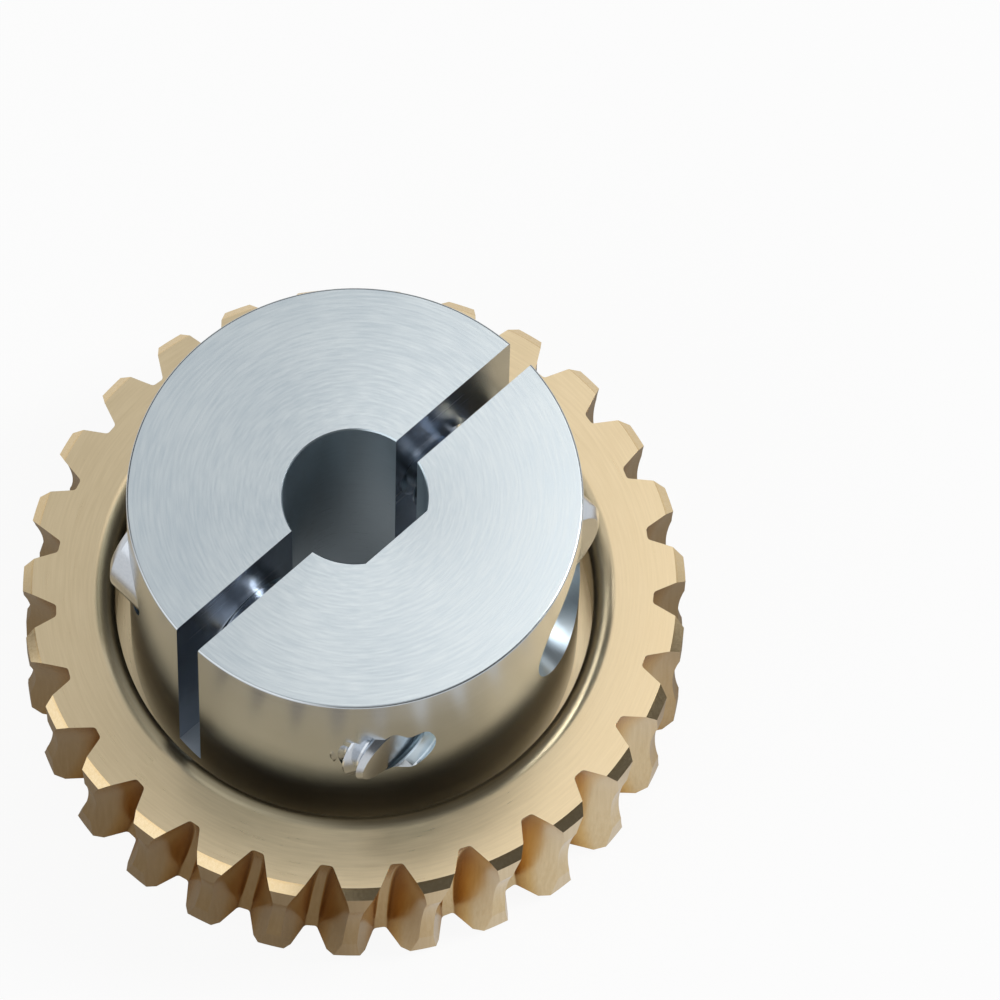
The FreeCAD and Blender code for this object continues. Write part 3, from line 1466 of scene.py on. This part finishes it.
@dataclass
class Studio:
    """Floor, light and the camera at the photograph's viewing angle.

    The camera's azimuth turns it round the wheel, and its aim is counted from the middle of
    the hub's face to the right and to the back of the picture. Lengths are in metres, but
    the lens and the sensor are in millimetres.
    """

    azimuth: float = -43.27
    elevation: float = 66.9
    distance: float = 524.33 * MM
    hub_height: float = 18.0 * MM
    aim_right: float = 6.34 * MM
    aim_back: float = -0.15 * MM
    roll: float = 1.87
    lens: float = 432.0
    sensor: float = 36.0
    clip_start: float = 0.05
    clip_end: float = 50.0
    surround: float = 0.1
    surround_colour: Colour = (0.97, 0.985, 1.0)
    screens: tuple[Screen, ...] = (
        Screen(azimuth=180, elevation=66, inner=12, outer=38, strength=0.56),
        Screen(azimuth=0, elevation=62, inner=6, outer=34, strength=0.35),
        Screen(azimuth=-80, elevation=58, inner=8, outer=36, strength=0.2),
        Screen(azimuth=-55, elevation=13, inner=36, outer=50, strength=1.12),
    )
    lamps: tuple[Lamp, ...] = (
        Lamp("side", azimuth=100, elevation=40, away=0.4, size=0.12, power=0.75),
        Lamp(
            "overhead", azimuth=127, elevation=63.3, away=0.1114, size=0.058, power=0.0095,
            colour=(1.0, 0.95, 0.9),
        ),
    )
    floor_size: float = 4.0
    floor_colour: Colour = (0.8, 0.8, 0.8)
    floor_roughness: float = 0.9
    mirror_share: float = 0.8
    white_share: float = 0.92
    painted_floor_light: PaintedFloorLight = field(default_factory=PaintedFloorLight)

    @property
    def turn(self) -> Matrix:
        """From the picture's right and depth to the frame's X and Y."""
        return Matrix.Rotation(math.radians(self.azimuth), 3, "Z")

    def camera(self) -> None:
        """Long lens looking down on the hub's face."""
        data = bpy.data.cameras.new("photo_camera")
        data.lens = self.lens
        data.sensor_width = self.sensor
        data.sensor_fit = "HORIZONTAL"
        data.clip_start = self.clip_start
        data.clip_end = self.clip_end
        camera = bpy.data.objects.new("photo_camera", data)
        bpy.context.scene.collection.objects.link(camera)
        rise = math.radians(self.elevation)
        away = Vector((0, -math.cos(rise), math.sin(rise))) * self.distance
        top = Vector((0, 0, self.hub_height))
        location = top + self.turn @ away
        aim = top + self.turn @ Vector((self.aim_right, self.aim_back, 0))
        facing = (aim - location).to_track_quat("-Z", "Y").to_matrix()
        rolled = facing @ Matrix.Rotation(math.radians(self.roll), 3, "Z")
        camera.matrix_world = Matrix.Translation(location) @ rolled.to_4x4()
        bpy.context.scene.camera = camera

    def direction(self, azimuth: float, elevation: float) -> Vector:
        """Direction from the wheel.

        Args:
            azimuth: Angle from the camera's side to the right, in degrees.
            elevation: Angle above the floor, in degrees.

        Returns:
            The direction, of length 1.
        """
        turn = math.radians(azimuth + self.azimuth)
        rise = math.radians(elevation)
        return Vector(
            (math.sin(turn) * math.cos(rise), -math.cos(turn) * math.cos(rise), math.sin(rise))
        )

    def floor(self) -> None:
        """Pale floor under the wheel, white to the camera but for the wheel's shadow."""
        clear_selection()
        bpy.ops.mesh.primitive_plane_add(size=self.floor_size, location=(0, 0, 0))
        plane = bpy.context.object
        plane.name = "floor"
        sheet = MaterialSheet("floor_white")
        matt = sheet.metal(
            {"Base Color": (*self.floor_colour, 1.0), "Roughness": self.floor_roughness}
        )
        # reflections see mostly the floor's painted light and shade, mixed with a little of its
        # matt surface
        mirrored = sheet.light_path("Is Glossy Ray") * self.mirror_share
        painted_floor_light = self.painted_floor_light.build(sheet, self.turn)
        lower = sheet.node("ShaderNodeMixShader", inputs={0: mirrored, 1: matt, 2: painted_floor_light})
        white = sheet.node("ShaderNodeEmission", inputs={"Color": (*WHITE, 1.0), "Strength": 1.0})
        seen = sheet.light_path("Is Camera Ray", "Is Transmission Ray") * self.white_share
        surface = sheet.node("ShaderNodeMixShader", inputs={0: seen, 1: lower, 2: white})
        plane.data.materials.append(sheet.finish(surface))

    def world(self) -> None:
        """White to the camera; for reflections and light, a few soft pale screens."""
        world = bpy.data.worlds.new("studio")
        bpy.context.scene.world = world
        world.use_nodes = True
        sheet = NodeSheet(world.node_tree)
        facing = sheet.node("ShaderNodeTexCoord", output="Generated")
        glows = []
        for screen in self.screens:
            towards = self.direction(screen.azimuth, screen.elevation)
            near = sheet.node(
                "ShaderNodeVectorMath",
                {"operation": "DOT_PRODUCT"},
                {0: facing, 1: towards},
                output="Value",
            )
            low = math.cos(math.radians(screen.outer))
            high = math.cos(math.radians(screen.inner))
            glows.append(near.band(low, high) * screen.strength)
        soft = sheet.node(
            "ShaderNodeBackground",
            inputs={"Color": (*self.surround_colour, 1.0), "Strength": sum(glows, self.surround)},
        )
        white = sheet.node("ShaderNodeBackground", inputs={"Color": (*WHITE, 1.0), "Strength": 1.0})
        seen = sheet.light_path("Is Camera Ray", "Is Transmission Ray")
        surface = sheet.node("ShaderNodeMixShader", inputs={0: seen, 1: soft, 2: white})
        sheet.node_in("ShaderNodeOutputWorld", {"Surface": surface})

    def light(self, lamp: Lamp) -> None:
        """Place an area lamp so that it faces the wheel.

        Args:
            lamp: The lamp's place, size and power.
        """
        data = bpy.data.lights.new(lamp.name, "AREA")
        data.energy = lamp.power
        data.color = lamp.colour
        data.size = lamp.size
        body = bpy.data.objects.new(lamp.name, data)
        bpy.context.scene.collection.objects.link(body)
        place = self.direction(lamp.azimuth, lamp.elevation) * lamp.away
        body.location = place
        body.rotation_euler = (-place).to_track_quat("-Z", "Y").to_euler()

    def build(self) -> None:
        """Everything around the wheel."""
        self.camera()
        self.floor()
        self.world()
        for lamp in self.lamps:
            self.light(lamp)


def main() -> None:
    """Build every piece in order, report it, and set the scene."""
    logging.basicConfig(level=logging.INFO, format="%(name)s: %(message)s")
    bpy.context.scene.view_settings.view_transform = "Standard"
    Studio().build()
    for maker in (WheelRim(), ClampHub(), ClampScrews()):
        piece = maker.build()
        LOG.info("%s: %d faces", piece.name, len(piece.data.polygons))


if __name__ == "__main__":
    main()
